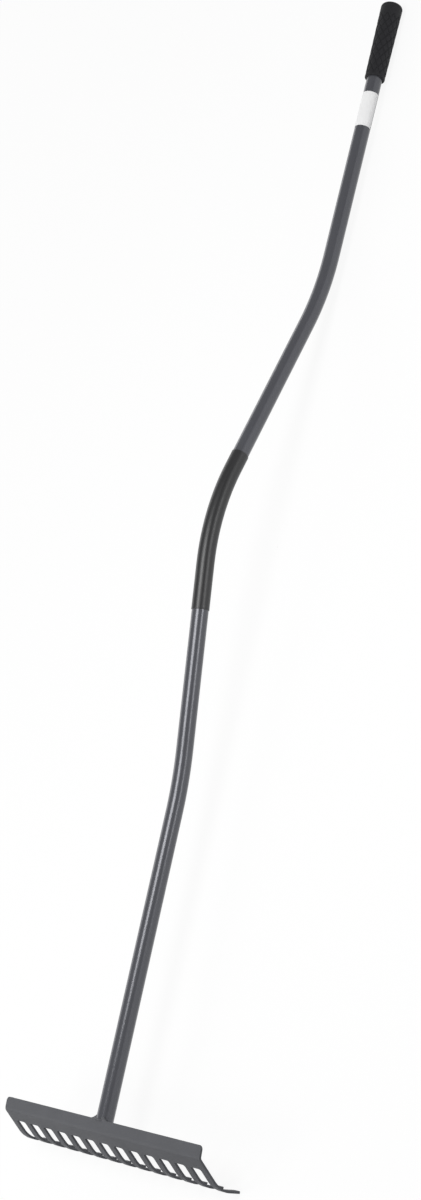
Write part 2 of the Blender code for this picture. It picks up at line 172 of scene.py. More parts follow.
def unit(vectors: Array) -> Array:
    """Vectors of length 1 along the given ones."""
    return vectors / np.linalg.norm(vectors, axis=-1, keepdims=True)


def round_angles(count: int) -> Array:
    """Even angles once round."""
    return np.linspace(0.0, math.tau, count, endpoint=False)


def arc_inset(over: Array, radius: float) -> Array:
    """How far a round corner draws an outline in, r - sqrt(r^2 - over^2), over metres into it."""
    over = np.clip(over, 0.0, radius)
    return radius - np.sqrt(radius**2 - over**2)


def thin_shell(near: Array, far: Array, quads: Array) -> tuple[Array, Array]:
    """Close the space between two faces that share one set of quads.

    The far face has the near one's quads turned over, and each edge that one
    quad alone uses gets a wall between the faces.

    Args:
        near: points of the first face.
        far: points of the second face, in the same order.
        quads: point numbers of the first face's quads.

    Returns:
        All points and all quads of the closed shell.
    """
    edges = np.concatenate([quads[:, [k, (k + 1) % 4]] for k in range(4)])
    _, first, uses = np.unique(np.sort(edges, axis=1), axis=0, return_index=True, return_counts=True)
    rim = edges[first[uses == 1]]
    count = len(near)
    walls = np.column_stack([rim[:, 1], rim[:, 0], rim[:, 0] + count, rim[:, 1] + count])
    return np.concatenate([near, far]), np.concatenate([quads, quads[:, ::-1] + count, walls])


def enclosed_volume(points: Array, faces: list[Array]) -> float:
    """Add up the signed tetrahedra that closed faces make with the origin.

    Args:
        points: where the corners are.
        faces: point numbers of the faces, one array for each number of corners.

    Returns:
        The volume inside, which is negative where the faces point inwards.
    """
    total = 0.0
    for group in faces:
        for k in range(1, group.shape[1] - 1):
            a, b, c = points[group[:, 0]], points[group[:, k]], points[group[:, k + 1]]
            total += float(np.einsum("ij,ij->", a, np.cross(b, c))) / 6.0
    return total


@dataclass(frozen=True)
class BentLine:
    """A line of straight runs and arcs in the plane X = 0.

    Attributes:
        start: drawing Y and Z of its first point.
        heading: angle of its first run from +Y towards +Z.
        stretches: length and turning angle of each run or arc.
    """

    start: Pair
    heading: float
    stretches: tuple[Pair, ...]

    def at(self, distance: Array) -> tuple[Array, Array, Array]:
        """Find places along the line.

        A run adds d (cos h, sin h), and an arc of radius R adds
        R (sin(h + d/R) - sin h, cos h - cos(h + d/R)), for the part d of the
        distance that falls in it. The first and last stretch go on past their ends.

        Args:
            distance: lengths from the start, of any shape.

        Returns:
            Y, Z and the heading there, each of the same shape.
        """
        distance = np.asarray(distance, float)
        y, z = np.full(distance.shape, self.start[0]), np.full(distance.shape, self.start[1])
        turned = np.full(distance.shape, self.heading)
        heading, reached = self.heading, 0.0
        for number, (length, turn) in enumerate(self.stretches):
            used = distance - reached
            used = np.maximum(used, 0.0) if number else used
            used = np.minimum(used, length) if number < len(self.stretches) - 1 else used
            if turn:
                radius = length / turn
                y = y + radius * (np.sin(heading + used / radius) - math.sin(heading))
                z = z + radius * (math.cos(heading) - np.cos(heading + used / radius))
                turned = turned + used / radius
            else:
                y, z = y + used * math.cos(heading), z + used * math.sin(heading)
            heading, reached = heading + turn, reached + length
        return y, z, turned

    def beside(self, x: Array, distance: Array, height: Array) -> Array:
        """Place points beside the line, x across it and height along its normal (-sin h, cos h).

        Args:
            x: drawing X of each point.
            distance: how far along the line each point stands.
            height: how far from the line each point is.

        Returns:
            Drawing points, with X, Y, Z last.
        """
        y, z, heading = self.at(distance)
        x, y, z = np.broadcast_arrays(x, y - height * np.sin(heading), z + height * np.cos(heading))
        return np.stack([x, y, z], axis=-1)

    def rows(self, start: float, end: float, run_step: float, turn_step: float) -> Array:
        """List the distances where a surface along the line needs a row.

        Args:
            start: first distance.
            end: last distance.
            run_step: most metres between rows on a run.
            turn_step: most radians between rows on an arc.

        Returns:
            Rising distances from start to end.
        """
        marks, reached = [np.array([start, end])], 0.0
        for length, turn in self.stretches:
            parts = math.ceil(max(length / run_step, abs(turn) / turn_step))
            marks.append(reached + np.linspace(0.0, length, parts + 1))
            reached += length
        every = np.unique(np.round(np.concatenate(marks), ROW_DIGITS))
        inside = every[(every > start + LEAST_ROW_GAP) & (every < end - LEAST_ROW_GAP)]
        return np.concatenate([[start], inside, [end]])


# The axis of the handle from the head's top edge: four runs with three bends between
# them, where a bend's length is its radius times its angle.
HANDLE_LINE = BentLine(
    start=(0.0, 0.0),
    heading=0.0,
    stretches=(
        (0.4021, 0.0),
        (0.596 * math.radians(8.12), math.radians(8.12)),
        (0.2510, 0.0),
        (0.3372 * math.radians(24.13), math.radians(-24.13)),
        (0.2568, 0.0),
        (0.4557 * math.radians(14.54), math.radians(14.54)),
        (0.4080, 0.0),
    ),
)


def add_node(
    tree: Tree,
    kind: str,
    settings: dict[str | int, object] | None = None,
    links: dict[str | int, Socket] | None = None,
) -> Node:
    """Add one shader node with its settings and links.

    Args:
        tree: node tree of a material or of the world.
        kind: the node's type without the ShaderNode that it starts with.
        settings: values by input name, input number or property name.
        links: the output that feeds each input, by its name or number.

    Returns:
        The new node.
    """
    node = tree.nodes.new("ShaderNode" + kind)
    for key, value in (settings or {}).items():
        if isinstance(key, int) or key in node.inputs:
            node.inputs[key].default_value = value
        else:
            setattr(node, key, value)
    for key, output in (links or {}).items():
        tree.links.new(output, node.inputs[key])
    return node


class Course(Enum):
    """What a finish's patterns follow, as a node's kind, settings and output.

    It is plain object space, or places on the straightened handle.
    """

    SPACE = ("TexCoord", {}, "Object")
    HANDLE = ("Attribute", {"attribute_name": UNBENT}, "Vector")


@dataclass(frozen=True)
class Pattern:
    """A noise pattern of a real size.

    Attributes:
        width: millimetres across a spot or a line of it.
        detail: number of finer layers in it.
        length: millimetres along a line, where it is lines along the handle.
    """

    width: float
    detail: float
    length: float | None = None


@dataclass(frozen=True)
class Finish:
    """A finish, whose colour and roughness drift with one pattern and whose relief is another.

    Attributes:
        name: the material's name.
        colour: sRGB hex of the surface.
        second: sRGB hex that the colour drifts to in soft patches.
        roughness: roughness at the colour and at the second colour.
        specular: specular level, where 0.5 is a plain clear coat's.
        patches: pattern of the drift, or None for the relief that the mesh is moulded with,
        whose raised tops then take the second colour as a painted highlight and
        whose hollows keep the first colour as painted shade.
        grain: finer pattern of the relief.
        grain_share: how far the grain takes the place of the patches in the drift.
        reach: values of the mixed pattern that are spread to 0 and 1.
        bumps: pattern of the relief, where it isn't the grain.
        depth: height of the relief in metres.
        course: what the patterns follow.
        extras: further settings of the Principled shader.
    """

    name: str
    colour: str
    second: str
    roughness: Pair
    specular: float = 0.5
    patches: Pattern | None = None
    grain: Pattern = Pattern(1.0, detail=2.0)
    grain_share: float = 0.0
    reach: Pair = (0.0, 1.0)
    bumps: Pattern | None = None
    depth: float = 0.00001
    course: Course = Course.HANDLE
    extras: tuple[tuple[str, float], ...] = ()

    def heights(self, tree: Tree) -> dict[Pattern | None, Socket]:
        """Add the nodes of every pattern.

        Args:
            tree: the material's nodes.

        Returns:
            The output of each pattern, from 0 to 1.
        """
        kind, settings, output = self.course.value
        place = {"Vector": add_node(tree, kind, settings).outputs[output]}
        heights = {}
        for pattern in dict.fromkeys((self.patches, self.grain, self.bumps or self.grain)):
            # With no patches, the mesh's relief sets the colour: raised tops get a painted highlight
            # and hollows get painted shade.
            if pattern is None:
                made = add_node(tree, "Attribute", {"attribute_name": RELIEF})
            else:
                across, along = per_metre(pattern.width), per_metre(pattern.length or pattern.width)
                scaled = add_node(tree, "Mapping", {"Scale": (across, along, across)}, place)
                settings = {"Scale": 1.0, "Detail": pattern.detail}
                made = add_node(tree, "TexNoise", settings, {"Vector": scaled.outputs["Vector"]})
            heights[pattern] = made.outputs["Fac"]
        return heights

    def material(self) -> bpy.types.Material:
        """Build the material.

        Returns:
            The material with all its nodes.
        """
        material = bpy.data.materials.new(self.name)
        material.use_nodes = True
        material.diffuse_color = linear(self.colour)
        tree = material.node_tree
        tree.nodes.clear()
        heights = self.heights(tree)
        relief = heights[self.bumps or self.grain]
        both = {VALUE_A: heights[self.patches], VALUE_B: heights[self.grain]}
        mixed = add_node(tree, "Mix", {"data_type": "FLOAT", 0: self.grain_share}, both)
        low, high = self.reach
        reach = {"From Min": low, "From Max": high}
        drift = add_node(tree, "MapRange", reach, {"Value": mixed.outputs[0]}).outputs["Result"]
        colours = {COLOUR_A: linear(self.colour), COLOUR_B: linear(self.second), "data_type": "RGBA"}
        colour = add_node(tree, "Mix", colours, {0: drift})
        low, high = self.roughness
        rough = add_node(tree, "MapRange", {"To Min": low, "To Max": high}, {"Value": drift})
        bump = add_node(tree, "Bump", {"Distance": self.depth}, {"Height": relief})
        looks = {
            "Base Color": colour.outputs[COLOUR_OUT],
            "Roughness": rough.outputs["Result"],
            "Normal": bump.outputs["Normal"],
        }
        settings = {"Specular IOR Level": self.specular, **dict(self.extras)}
        shader = add_node(tree, "BsdfPrincipled", settings, looks)
        add_node(tree, "OutputMaterial", links={"Surface": shader.outputs["BSDF"]})
        return material


@dataclass(frozen=True)
class PowderCoat(Finish):
    """Polyester powder coat on pressed steel.

    The powder melts to a satin skin with a fine orange peel, which spreads
    each highlight and keeps the colour even over the plate. Its patches are
    thicker coat, and its pigment grain is drawn coarser than its 0.3 mm so
    that it shows.
    """

    patches: Pattern | None = Pattern(45.0, detail=3.0)
    grain: Pattern = Pattern(0.9, detail=1.0)
    grain_share: float = 0.35
    reach: Pair = NOISE_REACH
    bumps: Pattern | None = Pattern(2.2, detail=2.0)
    depth: float = 0.00003
    course: Course = Course.SPACE


@dataclass(frozen=True)
class FlakeLacquer(Finish):
    """Grey lacquer with aluminium flake on drawn steel tube.

    The flake makes the coat partly metallic, so lamps run along the tube as
    long streaks, and the draw lines of the steel soften them crossways. Its
    patches are the clouds of flake that spraying leaves.
    """

    patches: Pattern | None = Pattern(25.0, detail=4.0)
    grain: Pattern = Pattern(0.8, detail=2.0, length=90.0)
    grain_share: float = 0.5
    reach: Pair = NOISE_REACH
    depth: float = 0.0000015
    extras: tuple[tuple[str, float], ...] = (
        ("Metallic", 0.3),
        ("Coat Weight", 0.3),
        ("Coat Roughness", 0.2),
    )


@dataclass(frozen=True)
class SoftVinyl(Finish):
    """Soft black vinyl, drawn over the tube as a sleeve.

    Stretching leaves faint lines along it and a low, even sheen, and its skin
    has a fine grain.
    """

    patches: Pattern | None = Pattern(2.5, detail=3.0, length=60.0)
    grain: Pattern = Pattern(1.1, detail=2.0)
    reach: Pair = (0.3, 0.7)
    depth: float = 0.000012


@dataclass(frozen=True)
class MouldedRubber(Finish):
    """Moulded black rubber of the end grip.

    It is matt and nearly black. Its colour is painted a little paler on top of
    its diamonds, as a painted highlight, and darker down in their grooves, as
    painted shade, and the tops are also smoother, where hands and the mould
    polish it. The mould was spark eroded, which gives the rubber its grain, and
    its rims have a dusty sheen.
    """

    grain: Pattern = Pattern(0.9, detail=3.0)
    grain_share: float = 0.35
    depth: float = 0.00006
    extras: tuple[tuple[str, float], ...] = (("Sheen Weight", 0.08), ("Sheen Roughness", 0.4))


@dataclass(frozen=True)
class CoatedPaper(Finish):
    """White coated paper of the band.

    The coating hides most of the mottle of its fibres, and glueing it round
    the tube leaves it faintly uneven.
    """

    patches: Pattern | None = Pattern(1.2, detail=4.0)
    grain: Pattern = Pattern(9.0, detail=1.0)
    depth: float = 0.00008


def make_piece(
    name: str,
    points: Array,
    faces: list[Array],
    finish: Finish,
    node: CadNode,
    sharp: float,
    unbent: Array | None = None,
    relief: Array | None = None,
) -> Object:
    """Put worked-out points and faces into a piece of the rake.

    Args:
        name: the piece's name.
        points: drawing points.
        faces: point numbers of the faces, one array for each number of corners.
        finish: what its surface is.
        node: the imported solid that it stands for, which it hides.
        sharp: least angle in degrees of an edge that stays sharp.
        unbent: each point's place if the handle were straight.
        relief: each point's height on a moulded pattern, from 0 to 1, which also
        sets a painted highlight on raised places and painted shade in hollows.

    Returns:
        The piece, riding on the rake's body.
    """
    if enclosed_volume(points, faces) < 0.0:
        faces = [group[:, ::-1] for group in faces]
    mesh = bpy.data.meshes.new(name)
    corners = [face for group in faces for face in group.tolist()]
    mesh.from_pydata(laid_down(points).tolist(), [], corners)
    kept = [(unbent, UNBENT, "FLOAT_VECTOR", "vector"), (relief, RELIEF, "FLOAT", "value")]
    for values, attribute, kind, key in kept:
        if values is not None:
            stored = mesh.attributes.new(attribute, kind, "POINT")
            stored.data.foreach_set(key, np.ascontiguousarray(values, np.float32).ravel())
    mesh.materials.append(finish.material())
    mesh.shade_smooth()
    mesh.set_sharp_from_angle(angle=math.radians(sharp))
    piece = bpy.data.objects.new(name, mesh)
    bpy.context.scene.collection.objects.link(piece)
    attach(piece, "root")
    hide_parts(node.value)
    log.info("%s: %d points, %d faces", name, len(mesh.vertices), len(mesh.polygons))
    return piece


def swept(distance: Array, angle: Array, radius: Array | float) -> tuple[Array, Array]:
    """Carry rings along the handle's line.

    A point is the line's point at distance s, moved by r cos(a) across and by
    r sin(a) along the line's normal. Straightened, it is (r cos a, s, r sin a).

    Args:
        distance: s of each row, or of each point.
        angle: a of each column.
        radius: r of each row or of each point, or one for all.

    Returns:
        Drawing points and straightened points, row by row.
    """
    s, r = (value[:, None] if np.ndim(value) == 1 else value for value in (distance, radius))
    s, a, r = np.broadcast_arrays(s, angle[None, :], r)
    across, up = r * np.cos(a), r * np.sin(a)
    straight = np.stack([across, s, up], axis=-1)
    return HANDLE_LINE.beside(across, s, up).reshape(-1, 3), straight.reshape(-1, 3)


@dataclass
class PressedHead:
    """The head: one sheet, blanked with its slots and then bent.

    The blank is a flat comb with X across and s down from its top edge. Its
    bends carry each flat point (X, s, depth) to its place in the pressing.
    Zones are the strips at the top edge, above the slots' ends and at the tips
    where rows follow the round corners, and steps are the most metres and
    radians between two rows.
    """

    width: float = 0.4096
    sheet: float = 0.0030
    back_height: float = 0.01042
    flange_angle: float = math.radians(3.1)
    flange_length: float = 0.0132
    flange_radius: float = 0.0075
    slope_angle: float = math.radians(53.1)
    slope_length: float = 0.0350
    tine_radius: float = 0.0407
    tip_angle: float = math.radians(95.5)
    tip_length: float = 0.0173
    corner: float = 0.0055
    tines: int = 14
    tine_width: float = 0.0110
    tine_corner: float = 0.0022
    slot_drop: float = 0.0152
    slot_corner: float = 0.0030
    edge_round: float = 0.00045
    edge_segments: int = 2
    edge_angle: float = math.radians(55.0)
    top_zone: float = 0.0110
    slot_zone: float = 0.0040
    tip_zone: float = 0.0045
    zone_rows: int = 4
    corner_columns: int = 6
    plate_steps: Pair = (0.0035, math.radians(5.0))
    tine_steps: Pair = (0.0050, math.radians(3.0))
    coat: Finish = PowderCoat("powder_coated_steel", "#58595D", "#535458", (0.54, 0.62), 0.25)

    @property
    def pitch(self) -> float:
        """Distance between the middles of two tines."""
        return (self.width - self.tine_width) / (self.tines - 1)

    def line(self) -> BentLine:
        """Draw the sheet's back face from the side.

        Returns:
            Its line from the top edge to a tip.
        """
        first, second = self.slope_angle - self.flange_angle, self.tip_angle - self.slope_angle
        return BentLine(
            start=(0.0, self.back_height),
            heading=math.pi + self.flange_angle,
            stretches=(
                (self.flange_length, 0.0),
                (self.flange_radius * first, first),
                (self.slope_length, 0.0),
                (self.tine_radius * second, second),
                (self.tip_length, 0.0),
            ),
        )

    def front_face(self) -> tuple[Array, Array]:
        """Follow the front face, where the tube and its weld sit.

        Returns:
            Drawing Y and Z along it.
        """
        reach, samples = 0.05, 500
        points = self.line().beside(0.0, np.linspace(0.0, reach, samples), self.sheet)
        return points[:, 1], points[:, 2]

    def columns(self) -> tuple[Array, Array]:
        """Place the columns of points across the blank.

        Round corners get columns at r sin(q) for even steps of q, so that
        their arcs come out round.

        Returns:
            X of each column, and whether it lies inside a slot.
        """
        half_tine, half_slot = self.tine_width / 2.0, (self.pitch - self.tine_width) / 2.0
        quarter = np.sin(np.linspace(0.0, math.pi / 2.0, self.corner_columns))
        tine = half_tine - self.tine_corner * (1.0 - quarter)
        slot = (half_slot - self.slot_corner * (1.0 - quarter))[:-1]
        tine, slot = np.concatenate([-tine, [0.0], tine]), np.concatenate([-slot, [0.0], slot])
        middles = (np.arange(self.tines) - (self.tines - 1) / 2.0) * self.pitch
        gaps = (middles[1:] + middles[:-1]) / 2.0
        outer = self.width / 2.0 - self.corner * (1.0 - quarter)
        solid = np.concatenate([(middles[:, None] + tine).ravel(), outer, -outer])
        solid = np.unique(np.round(solid, COLUMN_DIGITS))
        x = np.concatenate([solid, (gaps[:, None] + slot).ravel()])
        order = np.argsort(x)
        return x[order], (np.arange(len(x)) >= len(solid))[order]

    def blank(self) -> tuple[Array, Array, Array]:
        """Lay out the flat comb.

        Rows run evenly down the sheet. Near the top edge, the slots' ends and
        the tips they are drawn together to follow the round corners, where the
        outline is an arc of the corner's radius.

        Returns:
            X and s of each point, and the quads that join them.
        """
        x, in_slot = self.columns()
        line, pitch = self.line(), self.pitch
        lengths = np.cumsum([length for length, _ in line.stretches])
        slot_top, end = lengths[1] + self.slot_drop, lengths[-1]
        top = arc_inset(np.abs(x) - (self.width / 2.0 - self.corner), self.corner)
        across_slot = np.abs((x / pitch) - np.round(x / pitch)) * pitch
        half_slot = (pitch - self.tine_width) / 2.0
        drawn = slot_top + arc_inset(across_slot - (half_slot - self.slot_corner), self.slot_corner)
        bottom = np.where(in_slot, drawn, slot_top + self.slot_corner)

        zone, reach = self.top_zone, slot_top - self.slot_zone
        rows = line.rows(0.0, reach, *self.plate_steps)[:, None]
        s = np.where(rows < zone, top + rows * (zone - top) / zone, rows)
        ease = np.linspace(0.0, 1.0, self.zone_rows + 1)[1:, None]
        s = np.concatenate([s, reach + (bottom - reach) * ease])
        plate = np.arange(s.size).reshape(s.shape)

        solid = np.flatnonzero(~in_slot)
        from_middle = (x[solid] + self.width / 2.0 - self.tine_width / 2.0) / pitch
        across_tine = np.abs(from_middle - np.round(from_middle)) * pitch
        into_corner = across_tine - (self.tine_width / 2.0 - self.tine_corner)
        tip = end - arc_inset(into_corner, self.tine_corner)
        tine_top, last = slot_top + self.slot_corner, end - self.tip_zone
        rows = line.rows(tine_top, last, *self.tine_steps)[1:, None]
        rows = np.broadcast_to(rows, (len(rows), len(solid)))
        tine_s = np.concatenate([rows, last + (tip - last) * ease])
        tine = s.size + np.arange(tine_s.size).reshape(tine_s.shape)
        tine = np.concatenate([plate[-1:, solid], tine])
        between = quads_of(tine).reshape(len(tine) - 1, -1, 4)[:, np.diff(solid) == 1]

        plate_x, tine_x = np.broadcast_to(x, s.shape), np.broadcast_to(x[solid], tine_s.shape)
        quads = np.concatenate([quads_of(plate), between.reshape(-1, 4)])
        flat_x = np.concatenate([plate_x.ravel(), tine_x.ravel()])
        return flat_x, np.concatenate([s.ravel(), tine_s.ravel()]), quads

    def build(self) -> Object:
        """Bend the blank, give it its thickness and round its sheared edges.

        Returns:
            The dressed head.
        """
        x, s, quads = self.blank()
        line = self.line()
        points, faces = thin_shell(line.beside(x, s, 0.0), line.beside(x, s, self.sheet), quads)
        head = make_piece("pressed_head", points, [faces], self.coat, CadNode.HEAD, sharp=180.0)
        bevel = head.modifiers.new("sheared_edges", "BEVEL")
        bevel.limit_method = "ANGLE"
        bevel.angle_limit = self.edge_angle
        bevel.width, bevel.segments = self.edge_round, self.edge_segments
        bevel.harden_normals = True
        return head


@dataclass
class Handle:
    """The bent tube, its foot cut to the head, and the weld that holds it.

    The foot laps down the sheet's front face, and its rows go over from the cut
    to a plain ring at foot_end. A ripple is a base share and the height of the
    waves on it. The fillet's half thickness is a share of the sheet at its tip,
    and what that gains towards the tube.
    """

    head: PressedHead
    radius: float = 0.0115
    wall: float = 0.0012
    sides: int = 96
    foot_lap: float = 0.0205
    foot_gap: float = 0.0002
    foot_end: float = 0.0120
    foot_rows: int = 8
    foot_crowding: float = 0.8
    lip_margin: float = 0.0006
    lip_columns: int = 6
    steps: Pair = (0.060, math.radians(1.0))
    end: float = 1.6542
    bead: float = 0.0026
    top_bead: float = 0.0013
    bead_falls_from: float = 0.0020
    bead_steps: int = 240
    bead_sides: int = 14
    bead_ripple: Pair = (0.97, 0.05)
    ripple_mm: float = 1.7
    fillet_reach: float = 0.0150
    fillet_rise: float = 0.0105
    fillet_tip: float = 0.0008
    fillet_fall: float = 1.3
    fillet_lap: float = 0.25
    fillet_half: Pair = (0.50, 0.12)
    fillet_turn: Pair = (-0.3 * math.pi, 1.3 * math.pi)
    fillet_ripple: Pair = (0.97, 0.04)
    fillet_drops: float = 5.0
    fillet_steps: int = 40
    fillet_sides: int = 24
    tube_coat: Finish = FlakeLacquer("flake_lacquered_tube", "#53545A", "#4E4F55", (0.22, 0.26))
    weld_coat: Finish = PowderCoat(
        "coated_weld",
        "#56575B",
        "#4E4F53",
        (0.48, 0.60),
        0.35,
        bumps=Pattern(1.0, detail=2.0),
        depth=0.0001,
    )

    def foot(self, height: Array) -> Array:
        """Find where the tube's wall starts at a height, cut to the head's front face.

        Args:
            height: drawing Z of points on the wall.

        Returns:
            Their drawing Y: at the top edge above the sheet, and on the front
            face below it, but no further than the lap.
        """
        y, z = self.head.front_face()
        met = np.interp(-height, -z, y)
        return np.where(height >= z[0], self.foot_gap, np.maximum(met, -self.foot_lap))

    def build_tube(self) -> Object:
        """Sweep the outer and inner wall from the cut foot to the tube's end.

        The rows go over from the cut to a plain ring, crowded towards the cut,
        and more columns stand where the wall passes the sheet's edge.

        Returns:
            The dressed tube.
        """
        y, z = self.head.front_face()
        lowest = np.interp(self.head.flange_length, -y, z) - self.lip_margin
        lip = np.arcsin(np.linspace(lowest, z[0], self.lip_columns) / self.radius)
        extra = np.concatenate([lip, math.pi - lip]) % math.tau
        angle = np.concatenate([round_angles(self.sides), extra])
        angle = np.unique(np.round(angle, ANGLE_DIGITS))
        rows = HANDLE_LINE.rows(self.foot_end, self.end, *self.steps)[:, None]
        rows = np.broadcast_to(rows, (len(rows), len(angle)))
        ease = np.linspace(0.0, 1.0, self.foot_rows + 1)[:-1, None] ** self.foot_crowding
        walls = []
        for radius in (self.radius, self.radius - self.wall):
            first = self.foot(radius * np.sin(angle))[None, :]
            walls.append(np.concatenate([first + (self.foot_end - first) * ease, rows]))
        outer = swept(walls[0], angle, self.radius)
        inner = swept(walls[1][::-1], angle, self.radius - self.wall)
        points, unbent = (np.concatenate(pair) for pair in zip(outer, inner))
        quads = [closed_quads(len(points) // len(angle), len(angle))]
        coat = self.tube_coat
        return make_piece("bent_tube", points, quads, coat, CadNode.TUBE, sharp=40.0, unbent=unbent)

    def joint(self, count: int) -> Array:
        """Trace the line where the tube's wall meets the head.

        It is (r cos a, foot(z), z) with z = r sin a, held at the height where
        the foot ends, set out evenly along its length and eased twice.

        Args:
            count: number of points.

        Returns:
            Drawing points of a closed line.
        """
        y, z = self.head.front_face()
        fine, easings = 1440, 3
        lowest = float(np.interp(self.foot_lap, -y, z))
        angle = round_angles(fine)
        height = np.maximum(self.radius * np.sin(angle), lowest)
        met = np.where(height >= z[0], 0.0, np.interp(-height, -z, y))
        dense = np.stack([self.radius * np.cos(angle), met, height], axis=-1)
        steps = np.linalg.norm(np.diff(dense, axis=0, append=dense[:1]), axis=1)
        reached = np.concatenate([[0.0], np.cumsum(steps)])
        goal = np.linspace(0.0, reached[-1], count, endpoint=False)
        round_trip = np.concatenate([dense, dense[:1]])
        even = np.stack([np.interp(goal, reached, round_trip[:, k]) for k in range(3)], axis=-1)
        for _ in range(easings):
            even = (np.roll(even, 1, axis=0) + 2.0 * even + np.roll(even, -1, axis=0)) / 4.0
        return even

    def bead_ring(self) -> tuple[Array, Array]:
        """Lay the bead along the joint.

        It is a ring of radius b (1 + ripple) round the joint line. It is ground
        down to a smaller b on top of the tube, and the ripple is a row of half
        waves, one for each drop of the weld pool.

        Returns:
            Drawing points and quads.
        """
        count = self.bead_steps
        line = self.joint(count)
        length = float(np.linalg.norm(np.diff(line, axis=0, append=line[:1]), axis=1).sum())
        drops = round(length / (self.ripple_mm / 1000.0))
        along = unit(np.roll(line, -1, axis=0) - np.roll(line, 1, axis=0))
        side = unit(np.cross(along, line - line.mean(axis=0)))
        out = np.cross(side, along)
        wave = np.abs(np.sin(np.linspace(0.0, drops * math.pi, count, endpoint=False)))
        low, ripple = self.bead_ripple
        up = smooth_step((line[:, 2] - self.bead_falls_from) / (self.radius - self.bead_falls_from))
        size = (self.bead + (self.top_bead - self.bead) * up) * (low + ripple * wave)
        turn = round_angles(self.bead_sides)[None, :, None]
        ring = np.cos(turn) * out[:, None] + np.sin(turn) * side[:, None]
        bead = line[:, None] + size[:, None, None] * ring
        return bead.reshape(-1, 3), closed_quads(count, self.bead_sides)

    def fillet(self, way: float) -> tuple[Array, Array, Array]:
        """Shape the run-out on the head's top edge at one side of the tube.

        It is a half round ridge along X = way reach t, with t from 0 to 1. Its
        height is tip + rise (1 - t)^fall, in a row of half waves, and it laps
        down over the sheet's faces by a share of that.

        Args:
            way: 1 or -1 for the side of the tube.

        Returns:
            Drawing points, quads, and the triangles that close its ends.
        """
        middle = self.head.back_height - self.head.sheet / 2.0
        share = np.linspace(0.0, 1.0, self.fillet_steps)[:, None]
        turn = np.linspace(*self.fillet_turn, self.fillet_sides)[None, :]
        bulge = np.sin(turn) * np.where(np.sin(turn) < 0.0, self.fillet_lap, 1.0)
        low, ripple = self.fillet_ripple
        drop = low + ripple * np.abs(np.sin(share * self.fillet_drops * math.pi))
        rise = (self.fillet_tip + self.fillet_rise * (1.0 - share) ** self.fillet_fall) * drop
        half, more = self.fillet_half
        thick = self.head.sheet * (half + more * (1.0 - share))
        x = way * self.fillet_reach * share * np.ones_like(turn)
        ridge = np.stack([x, rise * bulge, middle + thick * np.cos(turn)], axis=-1)
        index = ring_numbers(self.fillet_steps, self.fillet_sides)
        first, last = index[0], index[-1]
        count = self.fillet_steps * self.fillet_sides
        root, tip = np.full(self.fillet_sides, count), np.full(self.fillet_sides, count + 1)
        fans = [[first[1:], first[:-1], root], [last[:-1], last[1:], tip]]
        fans = np.concatenate([np.stack(fan, axis=-1) for fan in fans])
        ends = [ridge[0].mean(axis=0), ridge[-1].mean(axis=0)]
        points = np.concatenate([ridge.reshape(-1, 3), ends])
        quads = quads_of(index)
        return (points, quads, fans) if way > 0.0 else (points, quads[:, ::-1], fans[:, ::-1])

    def build_weld(self) -> Object:
        """Join the bead with a fillet at each side of the tube.

        Returns:
            The dressed weld.
        """
        points, quads = self.bead_ring()
        faces = [quads]
        for way in (-1.0, 1.0):
            more, quads, fans = self.fillet(way)
            faces += [quads + len(points), fans + len(points)]
            points = np.concatenate([points, more])
        return make_piece("welded_joint", points, faces, self.weld_coat, CadNode.WELD, sharp=60.0)


@dataclass
class WaistSleeve:
    """The thin sleeve over the handle's second bend, where a hand holds it."""

    start: float = 0.6746
    length: float = 0.2294
    bore: float = 0.01153
    wall: float = 0.00067
    edge: float = 0.0005
    flare: float = 0.0001
    flare_length: float = 0.0030
    sides: int = 96
    edge_rows: int = 6
    steps: Pair = (0.0040, math.radians(0.7))
    skin: Finish = SoftVinyl("sleeve_vinyl", "#18181A", "#1F1F21", (0.34, 0.40), 0.62)

    def build(self) -> Object:
        """Sweep the sleeve's wall, with round ends that flare a little.

        The outer radius is bore + wall, plus a flare that fades with distance
        from either end, less a quarter round at the very ends.

        Returns:
            The dressed sleeve.
        """
        end = self.start + self.length
        angle = round_angles(self.sides)
        rounding = self.edge * (1.0 - np.cos(np.linspace(0.0, math.pi / 2.0, self.edge_rows)))
        rows = HANDLE_LINE.rows(self.start + self.edge, end - self.edge, *self.steps)
        s = np.concatenate([self.start + rounding, rows[1:-1], end - rounding[::-1]])
        from_end = np.minimum(s - self.start, end - s)
        inset = arc_inset(self.edge - from_end, self.edge)
        flare = self.flare * (1.0 - smooth_step(from_end / self.flare_length))
        outer = self.bore + self.wall + flare - inset
        section_r = np.concatenate([outer, np.full_like(s, self.bore)])
        section_s = np.concatenate([s, s[::-1]])
        points, unbent = swept(section_s, angle, section_r)
        quads = [closed_quads(len(section_s), self.sides)]
        node = CadNode.SLEEVE
        return make_piece("vinyl_sleeve", points, quads, self.skin, node, sharp=50.0, unbent=unbent)


